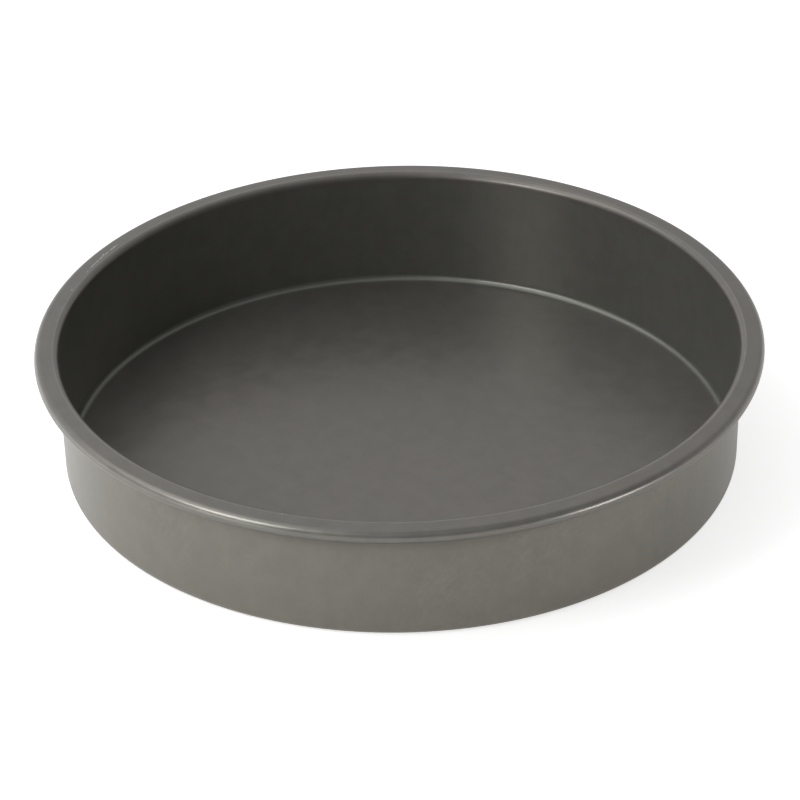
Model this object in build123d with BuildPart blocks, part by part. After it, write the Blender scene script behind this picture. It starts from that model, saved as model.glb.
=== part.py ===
from build123d import *
import os
from math import atan2, cos, degrees, radians, sin, tan

# Round cake tin, drawn from one sheet, with a rim rolled over a hoop of wire.
# All lengths are in millimetres. The origin is the centre of the underside and +Z is up.

# The drawn sheet
mouth_diameter = 203.2  # inside the wall, where its line would meet the top of the rim
tin_height = 39.5  # from the underside to the top of the rim
sheet_thickness = 0.8
wall_lean = 0.75  # how far each side of the wall draws in between the mouth and the floor
floor_corner_radius = 2.0  # inside the tin, where the wall turns into the floor
lip_bend_radius = 1.4  # on the inside of the bend that turns the wall out into the rim
rim_reach = 7.4  # from the inside of the wall to the outermost edge of the rim

# The hoop of wire and the roll of sheet that closes over it
wire_diameter = 2.0
wire_clearance = 0.3  # all round the wire, inside the roll
wire_butt_gap = 0.6  # between the two cut ends of the hoop
roll_turn = 290  # degrees, from the top of the rim outward, down and back under it

# How many flats stand for each bend in the section, and for the round of the wire
corner_flat_count = 4
lip_flat_count = 3
roll_flat_count = 10
wire_flat_count = 12

# Angles, in degrees
right_angle = 90
full_turn = 360

# Worked out from the sizes above
mouth_radius = mouth_diameter / 2
floor_radius = mouth_radius - wall_lean
lean_angle = atan2(wall_lean, tin_height - sheet_thickness)
wall_turn = right_angle - degrees(lean_angle)
wire_radius = wire_diameter / 2
roll_outer_radius = wire_radius + wire_clearance + sheet_thickness
lip_outer_radius = lip_bend_radius + sheet_thickness

# The wire's hoop lies under the outer edge of the rim
hoop_radius = mouth_radius + rim_reach - roll_outer_radius
hoop_height = tin_height - roll_outer_radius
hoop_arc = full_turn - degrees(wire_butt_gap / hoop_radius)


def wall_inside(height):
    # Radius of the line of the wall's inner face at a height
    return floor_radius + (height - sheet_thickness) * tan(lean_angle)


# Centres of the two bends, each at its radius from the inside of the wall
corner_height = sheet_thickness + floor_corner_radius
corner_centre = (wall_inside(corner_height) - floor_corner_radius / cos(lean_angle), corner_height)
lip_height = tin_height - lip_outer_radius
lip_centre = (wall_inside(lip_height) + lip_outer_radius / cos(lean_angle), lip_height)
hoop_centre = (hoop_radius, hoop_height)


def bend(centre, radius, start, turn, flats):
    # Points along one bend, from a start angle through a turn, both in degrees
    angles = [radians(start + turn * flat / flats) for flat in range(flats + 1)]
    return [(centre[0] + radius * cos(angle), centre[1] + radius * sin(angle)) for angle in angles]


def sheet_face(depth):
    # One face of the sheet, at a depth under the face that shows from above: out along
    # the floor, round the corner, up the wall, over the lip, along the rim and round the wire
    floor_middle = (0, sheet_thickness - depth)
    corner = bend(corner_centre, floor_corner_radius + depth, -right_angle, wall_turn, corner_flat_count)
    lip = bend(lip_centre, lip_outer_radius - depth, right_angle + wall_turn, -wall_turn, lip_flat_count)
    roll = bend(hoop_centre, roll_outer_radius - depth, right_angle, -roll_turn, roll_flat_count)
    return [floor_middle] + corner + lip + roll


os.makedirs("parts", exist_ok=True)

# Tin body: the section of the sheet, closed along its cut edge, spun round the middle of the tin
with BuildPart() as tin_body:
    with BuildSketch(Plane.XZ):
        with BuildLine():
            Polyline(*sheet_face(0), *reversed(sheet_face(sheet_thickness)), close=True)
        make_face()
    revolve(axis=Axis.Z)
tin_body.part.label = "tin_body"
export_step(tin_body.part, "parts/tin_body.step")

# Rim wire: a round steel wire bent to a hoop, its cut ends left a little apart
with BuildPart() as rim_wire:
    with BuildSketch(Plane.XZ):
        with Locations(hoop_centre):
            RegularPolygon(wire_radius, wire_flat_count)
    revolve(axis=Axis.Z, revolution_arc=hoop_arc)
rim_wire.part.label = "rim_wire"
export_step(rim_wire.part, "parts/rim_wire.step")

for piece in (tin_body, rim_wire):
    sides = [round(side, 1) for side in piece.part.bounding_box().size]
    print(piece.part.label, "volume", round(piece.part.volume), "size", *sides)
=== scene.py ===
import math
import random

import bmesh
import bpy
from mathutils import Matrix, Vector


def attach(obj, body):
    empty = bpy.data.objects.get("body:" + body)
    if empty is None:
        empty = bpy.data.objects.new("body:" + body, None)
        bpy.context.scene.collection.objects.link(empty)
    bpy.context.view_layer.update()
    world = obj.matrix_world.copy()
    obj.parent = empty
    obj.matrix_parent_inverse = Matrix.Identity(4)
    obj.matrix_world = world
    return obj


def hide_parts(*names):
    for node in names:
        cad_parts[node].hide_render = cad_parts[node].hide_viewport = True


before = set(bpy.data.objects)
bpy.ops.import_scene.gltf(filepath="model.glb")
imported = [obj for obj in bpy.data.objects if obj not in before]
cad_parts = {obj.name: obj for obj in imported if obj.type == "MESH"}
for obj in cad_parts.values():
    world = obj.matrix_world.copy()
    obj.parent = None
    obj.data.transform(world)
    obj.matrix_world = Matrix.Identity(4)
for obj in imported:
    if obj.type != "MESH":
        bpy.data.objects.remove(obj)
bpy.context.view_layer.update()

scene = bpy.context.scene

# Everything is in metres, with the origin under the middle of the tin and +Z up.
mm = 0.001
fullTurn = 2 * math.pi


def joinNode(tree, kind, inputs=None, **settings):
    # adds one node, sets its options, then fills its sockets with values or with other nodes' outputs
    made = tree.nodes.new(kind)
    for key, value in settings.items():
        setattr(made, key, value)
    for socket, value in (inputs or {}).items():
        if isinstance(value, bpy.types.NodeSocket):
            tree.links.new(value, made.inputs[socket])
        else:
            made.inputs[socket].default_value = value
    return made


def sums(tree, operation, first, second=0.0, third=None):
    inputs = {0: first, 1: second}
    if third is not None:
        inputs[2] = third
    return joinNode(tree, "ShaderNodeMath", inputs, operation=operation).outputs[0]


def ramp(tree, value, low, high, lowTo=0.0, highTo=1.0):
    inputs = {"Value": value, "From Min": low, "From Max": high, "To Min": lowTo, "To Max": highTo}
    return joinNode(tree, "ShaderNodeMapRange", inputs, interpolation_type="SMOOTHSTEP").outputs[0]


def tint(tree, share, colorA, colorB):
    mixed = joinNode(tree, "ShaderNodeMix", {0: share, 6: colorA, 7: colorB}, data_type="RGBA")
    return mixed.outputs[2]


def product(tree, first, *others):
    for other in others:
        first = sums(tree, "MULTIPLY", first, other)
    return first


def offBy(tree, value, middle):
    # how far a value is from a middle one, either way
    return sums(tree, "ABSOLUTE", sums(tree, "SUBTRACT", value, middle))


def lengthOf(tree, vector):
    return joinNode(tree, "ShaderNodeVectorMath", {0: vector}, operation="LENGTH").outputs["Value"]


def cloud(tree, where, look):
    inputs = {"Vector": where, "Scale": look["scale"], "Detail": look["detail"], "Roughness": look["rough"]}
    return joinNode(tree, "ShaderNodeTexNoise", inputs).outputs["Fac"]


def shaded(tree, cover, look):
    # the part of a cloud's range between its edges, spread from the first shade to the last
    return ramp(tree, cover, *look["edges"], *look["shades"])


def newMaterial(name):
    material = bpy.data.materials.new(name)
    material.use_nodes = True
    material.node_tree.nodes.clear()
    return material, material.node_tree


# The tin's own section, and the small waves that a pressed sheet keeps
tinBody = {
    "mouthRadius": 101.6 * mm,
    "height": 39.5 * mm,
    "sheet": 0.8 * mm,
    "lean": 0.75 * mm,
    "cornerRadius": 2.0 * mm,
    "lipRadius": 1.4 * mm,
    "rimReach": 7.4 * mm,
    "wireRadius": 1.0 * mm,
    "wireClearance": 0.3 * mm,
    "rollTurn": 290,  # degrees
    "stepsAround": 420,
    "stepsInCorner": 12,
    "stepsInLip": 14,
    "stepsInRoll": 48,
    "stepsUpWall": 12,
    "stepsOnFlat": 3,
    "floorRings": (8 * mm, 30 * mm, 55 * mm, 75 * mm, 90 * mm),
    "holdRing": 0.12 * mm,  # a ring this near each bend keeps the flats flat
    "cutEdgeRound": 0.12 * mm,
    "wallWave": 0.06 * mm,
    "wallRipples": (2, 7),  # fewest and most round the tin
    "rimWave": 0.05 * mm,
    "rimRipples": (2, 12),
    "rollWave": 0.03 * mm,
    "rollRipples": (3, 30),
    "wavesFrom": 2.4 * mm,  # up, where the waves begin
    "wavesRise": 31.6 * mm,  # and over how much height they grow
    "rimFall": 0.16 * mm,  # the flat of the rim falls this much from the lip to the roll
    "waveSeed": 7,
}


def arcPoints(centre, radius, start, turn, steps):
    points = []
    for step in range(steps + 1):
        angle = math.radians(start + turn * step / steps)
        points.append((centre[0] + radius * math.cos(angle), centre[1] + radius * math.sin(angle)))
    return points


def between(first, last, steps, hold):
    # points strictly between two ends, the outer ones held close to the ends
    length = math.dist(first, last)
    shares = [hold / length]
    shares += [step / steps for step in range(1, steps)]
    shares += [1 - hold / length]
    across, up = last[0] - first[0], last[1] - first[1]
    return [(first[0] + across * share, first[1] + up * share) for share in shares]


def tinLines(size):
    # where the bends of the section are centred, from the sizes alone
    leanAngle = math.atan2(size["lean"], size["height"] - size["sheet"])
    floorRadius = size["mouthRadius"] - size["lean"]
    cornerHeight = size["sheet"] + size["cornerRadius"]
    lipOuter = size["lipRadius"] + size["sheet"]
    lipHeight = size["height"] - lipOuter
    rollOuter = size["wireRadius"] + size["wireClearance"] + size["sheet"]

    def wallAt(height):
        return floorRadius + (height - size["sheet"]) * math.tan(leanAngle)

    return {
        "wallTurn": 90 - math.degrees(leanAngle),
        "corner": (wallAt(cornerHeight) - size["cornerRadius"] / math.cos(leanAngle), cornerHeight),
        "lip": (wallAt(lipHeight) + lipOuter / math.cos(leanAngle), lipHeight),
        "lipOuter": lipOuter,
        "hoop": (size["mouthRadius"] + size["rimReach"] - rollOuter, size["height"] - rollOuter),
        "rollOuter": rollOuter,
    }


def sheetFace(size, depth):
    # one face of the sheet, from the middle of the floor out to the cut edge inside the roll
    lines = tinLines(size)
    turn = lines["wallTurn"]
    hold = size["holdRing"]
    corner = arcPoints(lines["corner"], size["cornerRadius"] + depth, -90, turn, size["stepsInCorner"])
    lip = arcPoints(lines["lip"], lines["lipOuter"] - depth, 90 + turn, -turn, size["stepsInLip"])
    edgeBack = math.degrees(size["cutEdgeRound"] / (lines["rollOuter"] - size["sheet"] / 2))
    rollTurn = edgeBack - size["rollTurn"]
    roll = arcPoints(lines["hoop"], lines["rollOuter"] - depth, 90, rollTurn, size["stepsInRoll"])
    level = size["sheet"] - depth
    floor = [(0.0, level)] + [(radius, level) for radius in size["floorRings"]]
    floor.append((corner[0][0] - hold, level))
    wall = between(corner[-1], lip[0], size["stepsUpWall"], hold)
    flat = between(lip[-1], roll[0], size["stepsOnFlat"], hold)
    return floor + corner + wall + lip + flat + roll


def cutEdge(size):
    # the sheared edge of the sheet, a little rounded at both faces
    lines = tinLines(size)
    middle = lines["rollOuter"] - size["sheet"] / 2
    half = size["sheet"] / 2
    hoopOut, hoopUp = lines["hoop"]
    edgeRound = size["cutEdgeRound"]
    shoulder = 0.3  # share of the rounding that each shoulder point keeps
    stations = (
        (half - edgeRound * shoulder, shoulder),
        (half - edgeRound, 0.0),
        (edgeRound - half, 0.0),
        (edgeRound * shoulder - half, shoulder),
    )
    points = []
    for across, back in stations:
        angle = math.radians(90 - size["rollTurn"]) + edgeRound * back / middle
        radius = middle + across
        points.append((hoopOut + radius * math.cos(angle), hoopUp + radius * math.sin(angle)))
    return points


def slowWave(seed, size, counts):
    # a closed wave round the tin: a few whole-number ripples of random size and phase
    rng = random.Random(seed)
    least, most, fade = 0.4, 1.0, 0.7  # of each ripple, and how fast the finer ones fade
    ripples = []
    for count in range(*counts):
        part = rng.uniform(least, most) / count ** fade
        ripples.append((count, part, rng.uniform(0, fullTurn)))
    total = sum(ripple[1] for ripple in ripples)

    def height(angle):
        return size * sum(part * math.sin(count * angle + phase) for count, part, phase in ripples) / total

    return height


def spin(name, loop, stepsAround, place):
    # turns a section that starts and ends on the axis into a closed skin
    build = bmesh.new()
    rings = []
    for point in loop:
        if point[0] == 0.0:
            rings.append([build.verts.new((0.0, 0.0, point[1]))])
            continue
        angles = [fullTurn * step / stepsAround for step in range(stepsAround)]
        rings.append([build.verts.new(place(point, angle)) for angle in angles])
    for inner, outer in zip(rings, rings[1:]):
        for step in range(stepsAround):
            after = (step + 1) % stepsAround
            if len(inner) == 1:
                build.faces.new((inner[0], outer[step], outer[after]))
            elif len(outer) == 1:
                build.faces.new((inner[step], outer[0], inner[after]))
            else:
                build.faces.new((inner[step], outer[step], outer[after], inner[after]))
    for face in build.faces:
        face.smooth = True
    return meshPiece(name, build)


def meshPiece(name, build):
    mesh = bpy.data.meshes.new(name)
    build.to_mesh(mesh)
    build.free()
    piece = bpy.data.objects.new(name, mesh)
    scene.collection.objects.link(piece)
    return piece


def makeTinBody(size):
    lines = tinLines(size)
    wallWave = slowWave(size["waveSeed"], size["wallWave"], size["wallRipples"])
    rimWave = slowWave(size["waveSeed"] + 1, size["rimWave"], size["rimRipples"])
    rollWave = slowWave(size["waveSeed"] + 2, size["rollWave"], size["rollRipples"])
    rimWidth = lines["hoop"][0] - lines["lip"][0]

    def place(point, angle):
        # the floor keeps still, the wall and rim take up the waves towards the top
        radius, height = point
        up = max(0.0, min(1.0, (height - size["wavesFrom"]) / size["wavesRise"]))
        if radius < lines["corner"][0]:
            up = 0.0
        out = max(0.0, min(1.0, (radius - lines["lip"][0]) / rimWidth))
        shift = up * (wallWave(angle) - size["wallWave"]) + out * (rollWave(angle) - size["rollWave"])
        drop = up * (rimWave(angle) - size["rimWave"]) - out * size["rimFall"]
        reach = radius + shift
        return (reach * math.cos(angle), reach * math.sin(angle), height + drop)

    upper = sheetFace(size, 0.0)
    lower = sheetFace(size, size["sheet"])
    return spin("tinBody", upper + cutEdge(size) + lower[::-1], size["stepsAround"], place)


body = makeTinBody(tinBody)
print("tin: body made,", len(body.data.polygons), "faces")


# The wire hoop inside the roll
rimWire = {
    "radius": tinBody["wireRadius"],
    "buttGap": 0.6 * mm,
    "endBevel": 0.12 * mm,
    "stepsAround": 300,
    "stepsRound": 20,
}


def makeRimWire(wire, size):
    hoopRadius, hoopHeight = tinLines(size)["hoop"]
    hoopHeight -= size["rimFall"]
    turn = fullTurn - wire["buttGap"] / hoopRadius
    bevel = wire["endBevel"] / hoopRadius
    stations = [(0.0, wire["radius"] - wire["endBevel"]), (bevel, wire["radius"])]
    for step in range(1, wire["stepsAround"]):
        stations.append((turn * step / wire["stepsAround"], wire["radius"]))
    stations += [(turn - bevel, wire["radius"]), (turn, wire["radius"] - wire["endBevel"])]
    build = bmesh.new()
    rings = []
    for angle, radius in stations:
        ring = []
        for step in range(wire["stepsRound"]):
            across = fullTurn * step / wire["stepsRound"]
            reach = hoopRadius + radius * math.cos(across)
            spot = (reach * math.cos(angle), reach * math.sin(angle), hoopHeight + radius * math.sin(across))
            ring.append(build.verts.new(spot))
        rings.append(ring)
    for first, second in zip(rings, rings[1:]):
        for step in range(wire["stepsRound"]):
            after = (step + 1) % wire["stepsRound"]
            build.faces.new((first[step], first[after], second[after], second[step]))
    build.faces.new(rings[0][::-1])
    build.faces.new(rings[-1])
    bmesh.ops.recalc_face_normals(build, faces=build.faces)
    for face in build.faces:
        face.smooth = len(face.verts) == 4
    return meshPiece("rimWire", build)


hoop = makeRimWire(rimWire, tinBody)
print("tin: wire hoop made")


# The satin grey finish of the sheet, the few marks that use has left on it, and painted shade and highlights
# along the rim
greyFinish = {
    "grey": (0.213, 0.204, 0.187, 1.0),
    "oliveGrey": (0.204, 0.203, 0.184, 1.0),
    "brownGrey": (0.221, 0.206, 0.188, 1.0),
    "wallGrey": (0.224, 0.211, 0.180, 1.0),  # warmer, for the outside of the wall
    "insideGrey": (0.207, 0.207, 0.187, 1.0),  # greener, for the inside of the wall
    "scuffed": (0.60, 0.58, 0.55, 1.0),
    "plainShare": 0.5,  # of the plain grey over the olive and brown patches
    "wallShare": 0.8,
    "metallic": 0.64,
    "roughness": 0.34,
    "roughSpread": 0.025,
    "roughEdges": (0.25, 0.75),
    # clouds: size, detail and roughness, the part of the range that is used, and what it shades from and to
    "patches": {"scale": 16.0, "detail": 2.0, "rough": 0.5, "edges": (0.36, 0.64), "shades": (0.0, 1.0)},
    "mottle": {"scale": 150.0, "detail": 4.0, "rough": 0.6, "edges": (0.3, 0.7), "shades": (0.95, 1.04)},
    "grain": {"scale": 2600.0, "detail": 2.0, "rough": 0.5, "edges": (0.25, 0.75), "shades": (0.97, 1.03)},
    "streaks": {"scale": 420.0, "detail": 4.0, "rough": 0.6, "edges": (0.3, 0.7), "shades": (0.985, 1.012)},
    "streakStretch": (1.0, 1.0, 0.08),
    "grainBump": {"Strength": 0.04, "Distance": 0.2 * mm},
    "streakBump": {"Strength": 0.05, "Distance": 0.4 * mm},
    "wallStarts": (98.0 * mm, 100.0 * mm),  # out from the middle of the tin
    "rimStarts": (36.0 * mm, 37.0 * mm),  # up from the floor
    "rimTop": (38.6 * mm, 39.0 * mm),
    # the next three are painted light, not wear, with strengths set to match the measured tones: no wear was
    # seen there
    # painted shade where the roll shades the wall: the outside of the wall darkens up to the roll, most of
    # all at one turn round the tin, in degrees
    "rollShadePainted": {"shade": 0.72, "heights": (27.8 * mm, 33.0 * mm), "turn": -92, "near": 12, "far": 38,
                  "elsewhere": 0.3},
    # a painted highlight along the lip, this far out
    "lipHighlight": {"out": 103.35 * mm, "edges": (0.126 * mm, 0.42 * mm), "share": 0.26},
    # a painted highlight along the shoulder of the roll
    "rollHighlight": {
        "out": (107.9 * mm, 108.5 * mm),
        "up": (37.2 * mm, 38.2 * mm),
        "cover": {"scale": 70.0, "detail": 3.0, "rough": 0.6, "edges": (0.3, 0.7), "shades": (0.285, 0.475)},
    },
    # faint slanting rubs on the outside of the wall, in patches
    "wallRubs": {
        "turn": (0.5, 0.6, 0.4),
        "stretch": (1.0, 1.0, 9.0),
        "lines": {"scale": 900.0, "detail": 3.0, "rough": 0.7, "edges": (0.42, 0.66),
                  "shades": (-0.025, 0.05)},
        "patches": {"scale": 22.0, "detail": 1.0, "rough": 0.5, "edges": (0.48, 0.60), "shades": (0.0, 1.0)},
    },
    # a dotted scuff on the flat of the rim, from one place to the other: degrees round, mm out
    "rimScuff": {
        "from": (157.4, 104.1),
        "to": (146.0, 104.8),
        "edges": (0.08 * mm, 0.256 * mm),
        "fades": 0.85,  # share of its length where it starts to fade
        "dots": {"scale": 900.0, "detail": 2.0, "rough": 0.6, "edges": (0.42, 0.60), "shades": (0.0, 1.0)},
    },
    # small bright nicks: degrees round, mm out, mm up, size in mm, and how much of it is solid
    "nicks": (
        (150.5, 104.9, 39.4, 0.50),
        (147.2, 104.8, 39.4, 0.44),
        (154.6, 104.3, 39.4, 0.32),
        (163.3, 104.1, 39.4, 0.34),
        (251.2, 103.2, 39.4, 0.34),
        (331.7, 108.2, 36.4, 0.40),
    ),
    "nickCore": 0.4,
}


def roundPlace(tree, where):
    # how far out from the axis a point is, at what angle and how high
    split = joinNode(tree, "ShaderNodeSeparateXYZ", {0: where}).outputs
    level = joinNode(tree, "ShaderNodeVectorMath", {0: where, 1: (1.0, 1.0, 0.0)}, operation="MULTIPLY")
    return lengthOf(tree, level.outputs[0]), sums(tree, "ARCTAN2", split[1], split[0]), split[2]


def outerFace(tree, out, up, size):
    # 1 on the outer face of the sheet and 0 on the inner one, from the floor to the rim
    cornerOut, cornerUp = tinLines(size)["corner"]
    above = sums(tree, "SUBTRACT", up, cornerUp)
    upright = sums(tree, "MULTIPLY_ADD", above, -size["lean"] / size["height"], out)
    over = sums(tree, "MAXIMUM", sums(tree, "SUBTRACT", upright, cornerOut), 0.0)
    under = sums(tree, "MINIMUM", above, 0.0)
    away = lengthOf(tree, joinNode(tree, "ShaderNodeCombineXYZ", {0: over, 1: under}).outputs[0])
    middle = size["cornerRadius"] + size["sheet"] / 2
    blurShare = 0.2  # of the sheet's thickness, either way
    blur = size["sheet"] * blurShare
    return ramp(tree, away, middle - blur, middle + blur)


def scuffRun(tree, where, out, angle, track):
    # a thin broken line that follows the rim
    (startTurn, startOut), (endTurn, endOut) = track["from"], track["to"]
    start, end = math.radians(startTurn), math.radians(endTurn)
    slope = (endOut - startOut) * mm / (end - start)
    line = sums(tree, "MULTIPLY_ADD", sums(tree, "SUBTRACT", angle, start), slope, startOut * mm)
    near = ramp(tree, offBy(tree, out, line), *track["edges"], 1.0, 0.0)
    reach = abs(end - start) / 2
    within = ramp(tree, offBy(tree, angle, (start + end) / 2), reach * track["fades"], reach, 1.0, 0.0)
    return product(tree, near, within, shaded(tree, cloud(tree, where, track["dots"]), track["dots"]))


def nickSpots(tree, where, nicks, core):
    marks = 0.0
    for turn, out, up, size in nicks:
        angle = math.radians(turn)
        spot = (out * mm * math.cos(angle), out * mm * math.sin(angle), up * mm)
        away = joinNode(tree, "ShaderNodeVectorMath", {0: where, 1: spot}, operation="DISTANCE")
        near = ramp(tree, away.outputs["Value"], size * core * mm, size * mm, 1.0, 0.0)
        marks = sums(tree, "MAXIMUM", marks, near)
    return marks


def paintedShadeUnderRoll(tree, angle, up, outside, band):
    # painted shade under the roll: what the colour is multiplied by, 1 away from the band and less in it
    fromDarkest = offBy(tree, angle, math.radians(band["turn"]))
    near, far = math.radians(band["near"]), math.radians(band["far"])
    aside = ramp(tree, fromDarkest, near, far, 1.0, band["elsewhere"])
    darker = ramp(tree, up, *band["heights"], 0.0, 1.0 - band["shade"])
    return sums(tree, "SUBTRACT", 1.0, product(tree, darker, aside, outside))


def slantingRubs(tree, where, outside, rubs):
    inputs = {"Vector": where, "Rotation": rubs["turn"], "Scale": rubs["stretch"]}
    slant = joinNode(tree, "ShaderNodeMapping", inputs, vector_type="TEXTURE").outputs[0]
    lines = shaded(tree, cloud(tree, slant, rubs["lines"]), rubs["lines"])
    patches = shaded(tree, cloud(tree, where, rubs["patches"]), rubs["patches"])
    return product(tree, lines, patches, outside)


def paintGreySheet(finish, size):
    material, tree = newMaterial("greySheet")
    where = joinNode(tree, "ShaderNodeTexCoord").outputs["Object"]
    out, angle, up = roundPlace(tree, where)
    patches = cloud(tree, where, finish["patches"])
    mottle = cloud(tree, where, finish["mottle"])
    grain = cloud(tree, where, finish["grain"])
    stretched = {"Vector": where, "Scale": finish["streakStretch"]}
    drawn = joinNode(tree, "ShaderNodeMapping", stretched).outputs[0]
    streaks = cloud(tree, drawn, finish["streaks"])
    top = ramp(tree, up, *finish["rimTop"])
    belowRim = ramp(tree, up, *finish["rimStarts"], 1.0, 0.0)
    outside = product(tree, outerFace(tree, out, up, size), belowRim)
    notOutside = sums(tree, "SUBTRACT", 1.0, outside)
    inside = product(tree, ramp(tree, out, *finish["wallStarts"]), notOutside, belowRim)

    color = tint(tree, shaded(tree, patches, finish["patches"]), finish["oliveGrey"], finish["brownGrey"])
    color = tint(tree, finish["plainShare"], color, finish["grey"])
    color = tint(tree, product(tree, outside, finish["wallShare"]), color, finish["wallGrey"])
    color = tint(tree, inside, color, finish["insideGrey"])
    # painted shade under the roll, darkest on one side of the tin
    shade = paintedShadeUnderRoll(tree, angle, up, outside, finish["rollShadePainted"])
    for name, cover in (("mottle", mottle), ("grain", grain), ("streaks", streaks)):
        shade = product(tree, shade, shaded(tree, cover, finish[name]))
    # painted highlights along the lip and along the shoulder of the roll, lightening the colour
    lip, roll = finish["lipHighlight"], finish["rollHighlight"]
    paintedLipHighlight = product(tree, ramp(tree, offBy(tree, out, lip["out"]), *lip["edges"], lip["share"], 0.0), top)
    paintedRollHighlight = product(tree, ramp(tree, out, *roll["out"]), ramp(tree, up, *roll["up"]),
                     shaded(tree, cloud(tree, where, roll["cover"]), roll["cover"]))
    for brighter in (paintedLipHighlight, slantingRubs(tree, where, outside, finish["wallRubs"]), paintedRollHighlight):
        shade = sums(tree, "MULTIPLY_ADD", brighter, shade, shade)
    color = joinNode(tree, "ShaderNodeVectorMath", {0: color, 3: shade}, operation="SCALE").outputs[0]
    scuff = product(tree, scuffRun(tree, where, out, angle, finish["rimScuff"]), top)
    marks = sums(tree, "MAXIMUM", scuff, nickSpots(tree, where, finish["nicks"], finish["nickCore"]))
    color = tint(tree, marks, color, finish["scuffed"])

    middle, spread = finish["roughness"], finish["roughSpread"]
    rough = ramp(tree, mottle, *finish["roughEdges"], middle - spread, middle + spread)
    normal = joinNode(tree, "ShaderNodeBump", {"Height": grain, **finish["grainBump"]}).outputs[0]
    inputs = {"Height": streaks, "Normal": normal, **finish["streakBump"]}
    normal = joinNode(tree, "ShaderNodeBump", inputs).outputs[0]
    shader = joinNode(tree, "ShaderNodeBsdfPrincipled", {
        "Base Color": color, "Roughness": rough, "Normal": normal, "Metallic": finish["metallic"]})
    joinNode(tree, "ShaderNodeOutputMaterial", {"Surface": shader.outputs[0]})
    return material


# Bare drawn steel, for the wire inside the roll
wireFinish = {
    "steel": (0.50, 0.49, 0.47, 1.0),
    "dull": (0.36, 0.34, 0.31, 1.0),
    "metallic": 1.0,
    "patches": {"scale": 300.0, "detail": 4.0, "rough": 0.6, "edges": (0.4, 0.7), "shades": (0.0, 1.0)},
    # the scratches shade the roughness
    "scratches": {"scale": 2200.0, "detail": 3.0, "rough": 0.6, "edges": (0.3, 0.7), "shades": (0.26, 0.44)},
    "bump": {"Strength": 0.1, "Distance": 0.1 * mm},
}


def paintSteelWire(finish):
    material, tree = newMaterial("steelWire")
    where = joinNode(tree, "ShaderNodeTexCoord").outputs["Object"]
    patches = shaded(tree, cloud(tree, where, finish["patches"]), finish["patches"])
    scratches = cloud(tree, where, finish["scratches"])
    normal = joinNode(tree, "ShaderNodeBump", {"Height": scratches, **finish["bump"]}).outputs[0]
    shader = joinNode(tree, "ShaderNodeBsdfPrincipled", {
        "Base Color": tint(tree, patches, finish["steel"], finish["dull"]),
        "Roughness": shaded(tree, scratches, finish["scratches"]),
        "Normal": normal, "Metallic": finish["metallic"]})
    joinNode(tree, "ShaderNodeOutputMaterial", {"Surface": shader.outputs[0]})
    return material


body.data.materials.append(paintGreySheet(greyFinish, tinBody))
hoop.data.materials.append(paintSteelWire(wireFinish))
for piece, node, slotName in ((body, "tin_body", "grey_sheet"), (hoop, "rim_wire", "steel_wire")):
    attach(piece, "root")
    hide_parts(node)
print("tin: finishes on, pieces ride on root")


# Floor and light: a pale room, brighter behind the tin, on its left and overhead, and four softboxes
studio = {
    "floorHalf": 3.0,
    "floorDrop": 0.1 * mm,
    "floorShade": 0.80,
    # what the tin sees on top of the floor's own light, from near right to far left, and over how many metres
    "floorLift": (0.29, 0.80),
    "floorLiftReach": 0.3,
    "floorLiftToward": (-0.7, 0.7, 0.0),
    "floorLiftInView": 0.70,  # and what the camera sees of it
    # levels of the room, and where each one fades, in parts of the direction's own length
    "allRound": 0.10,
    "behind": 0.46,
    "behindFades": (-0.2, 0.8),
    "behindLow": 0.10,
    "behindLowFades": (0.5, 0.9),
    "behindLowRise": (0.05, 0.32),
    "onTheLeft": 0.28,
    "leftFades": (-0.8, 0.2),
    "overhead": 0.26,
    "overheadFades": (0.5, 1.0),
    # degrees from the camera's side (right is positive), degrees up, metres away, width, height, watts
    "softboxes": {
        "mainLeft": (-51, 39, 0.6, 0.19, 0.17, 0.76),
        "highLeft": (-95, 56, 1.2, 0.90, 0.90, 2.60),
        "lowLeft": (-48, 5, 0.6, 0.20, 0.08, 0.14),
        "lowRight": (56, 2.2, 0.6, 0.20, 0.04, 0.52),
    },
    "softboxAim": 20 * mm,
}


def layFloor(room):
    half, level, shade = room["floorHalf"], -room["floorDrop"], room["floorShade"]
    mesh = bpy.data.meshes.new("paleFloor")
    corners = [(-half, -half, level), (half, -half, level), (half, half, level), (-half, half, level)]
    mesh.from_pydata(corners, [], [(0, 1, 2, 3)])
    floor = bpy.data.objects.new("paleFloor", mesh)
    scene.collection.objects.link(floor)
    material, tree = newMaterial("paleFloor")
    toward = {0: joinNode(tree, "ShaderNodeTexCoord").outputs["Object"], 1: room["floorLiftToward"]}
    farLeft = joinNode(tree, "ShaderNodeVectorMath", toward, operation="DOT_PRODUCT").outputs["Value"]
    reach = room["floorLiftReach"]
    lift = ramp(tree, farLeft, -reach, reach, *room["floorLift"])
    ray = joinNode(tree, "ShaderNodeLightPath").outputs
    lift = product(tree, sums(tree, "MAXIMUM", ray["Is Glossy Ray"], ray["Is Transmission Ray"]), lift)
    lift = sums(tree, "MULTIPLY_ADD", ray["Is Camera Ray"], room["floorLiftInView"], lift)
    paint = joinNode(tree, "ShaderNodeBsdfDiffuse", {"Color": (shade, shade, shade, 1.0)})
    glow = joinNode(tree, "ShaderNodeEmission", {"Strength": lift})
    both = joinNode(tree, "ShaderNodeAddShader", {0: paint.outputs[0], 1: glow.outputs[0]})
    joinNode(tree, "ShaderNodeOutputMaterial", {"Surface": both.outputs[0]})
    mesh.materials.append(material)


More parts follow.
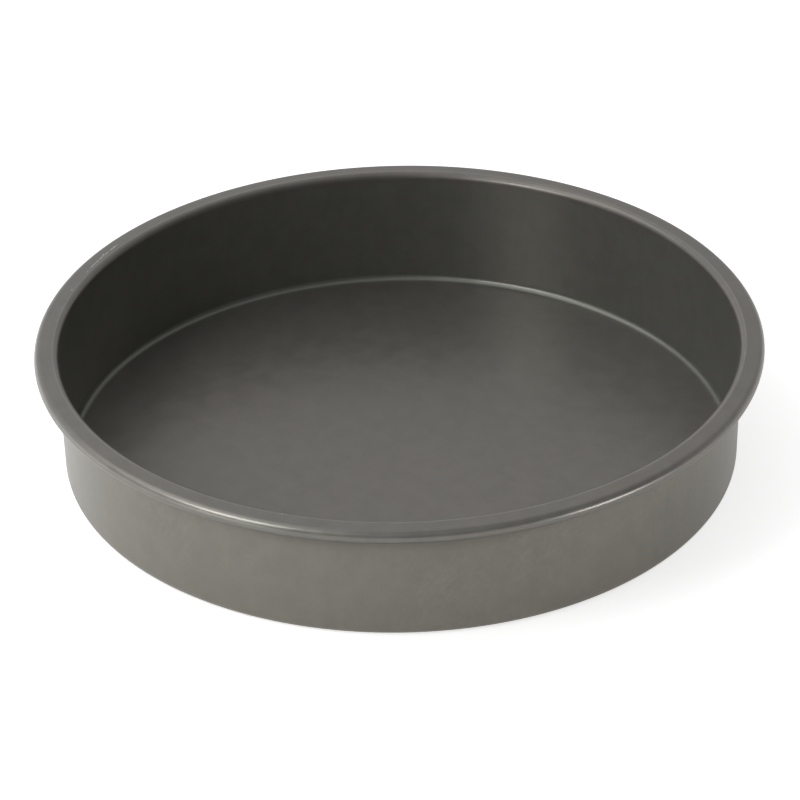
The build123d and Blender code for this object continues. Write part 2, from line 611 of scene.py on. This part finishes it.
def lightRoom(room):
    # the camera sees white; the tin sees a room with a brighter back, left side and ceiling
    world = bpy.data.worlds.new("paleStudio")
    world.use_nodes = True
    scene.world = world
    tree = world.node_tree
    tree.nodes.clear()
    toward = joinNode(tree, "ShaderNodeTexCoord").outputs["Generated"]
    split = joinNode(tree, "ShaderNodeSeparateXYZ", {0: toward}).outputs
    level = ramp(tree, split["Y"], *room["behindFades"], room["allRound"], room["allRound"] + room["behind"])
    low = product(tree, ramp(tree, split["Y"], *room["behindLowFades"]),
                  ramp(tree, split["Z"], *room["behindLowRise"], room["behindLow"], 0.0))
    left = ramp(tree, split["X"], *room["leftFades"], room["onTheLeft"], 0.0)
    above = ramp(tree, split["Z"], *room["overheadFades"], 0.0, room["overhead"])
    for more in (low, left, above):
        level = sums(tree, "ADD", level, more)
    seen = joinNode(tree, "ShaderNodeLightPath").outputs["Is Camera Ray"]
    strength = sums(tree, "MAXIMUM", level, seen)
    back = joinNode(tree, "ShaderNodeBackground", {"Color": (1.0, 1.0, 1.0, 1.0), "Strength": strength})
    joinNode(tree, "ShaderNodeOutputWorld", {"Surface": back.outputs[0]})


def hangSoftboxes(room):
    aim = Vector((0, 0, room["softboxAim"]))
    for name, (side, rise, distance, width, height, watts) in room["softboxes"].items():
        lamp = bpy.data.lights.new(name, "AREA")
        lamp.shape = "RECTANGLE"
        lamp.size = width
        lamp.size_y = height
        lamp.energy = watts
        box = bpy.data.objects.new(name, lamp)
        box.visible_camera = False
        scene.collection.objects.link(box)
        turn, tilt = math.radians(side), math.radians(rise)
        level = distance * math.cos(tilt)
        box.location = (level * math.sin(turn), -level * math.cos(turn), distance * math.sin(tilt))
        box.rotation_euler = (aim - box.location).to_track_quat("-Z", "Y").to_euler()


# The camera, as the photograph was taken
cameraView = {
    "aimHeight": 20 * mm,
    "distance": 1.1271,
    "rise": 31.177,  # degrees
    "roll": -1.142,  # degrees
    "focalPixels": 3738.0,
    "upPixels": 11.6,
    "imagePixels": 800,
    "sensor": 36,
    "sees": (0.05, 20),  # metres, from and to
}


def placeCamera(view):
    data = bpy.data.cameras.new("photoCamera")
    data.sensor_width = view["sensor"]
    data.lens = view["sensor"] * view["focalPixels"] / view["imagePixels"]
    data.shift_y = -view["upPixels"] / view["imagePixels"]
    data.clip_start, data.clip_end = view["sees"]
    camera = bpy.data.objects.new("photoCamera", data)
    scene.collection.objects.link(camera)
    rise = math.radians(view["rise"])
    aim = Vector((0, 0, view["aimHeight"]))
    place = aim + view["distance"] * Vector((0, -math.cos(rise), math.sin(rise)))
    upright = (aim - place).to_track_quat("-Z", "Y").to_matrix().to_4x4()
    roll = Matrix.Rotation(math.radians(view["roll"]), 4, "Z")
    camera.matrix_world = Matrix.Translation(place) @ upright @ roll
    scene.camera = camera


layFloor(studio)
lightRoom(studio)
hangSoftboxes(studio)
placeCamera(cameraView)
scene.view_settings.view_transform = "Standard"
print("tin: floor, light and camera in place")
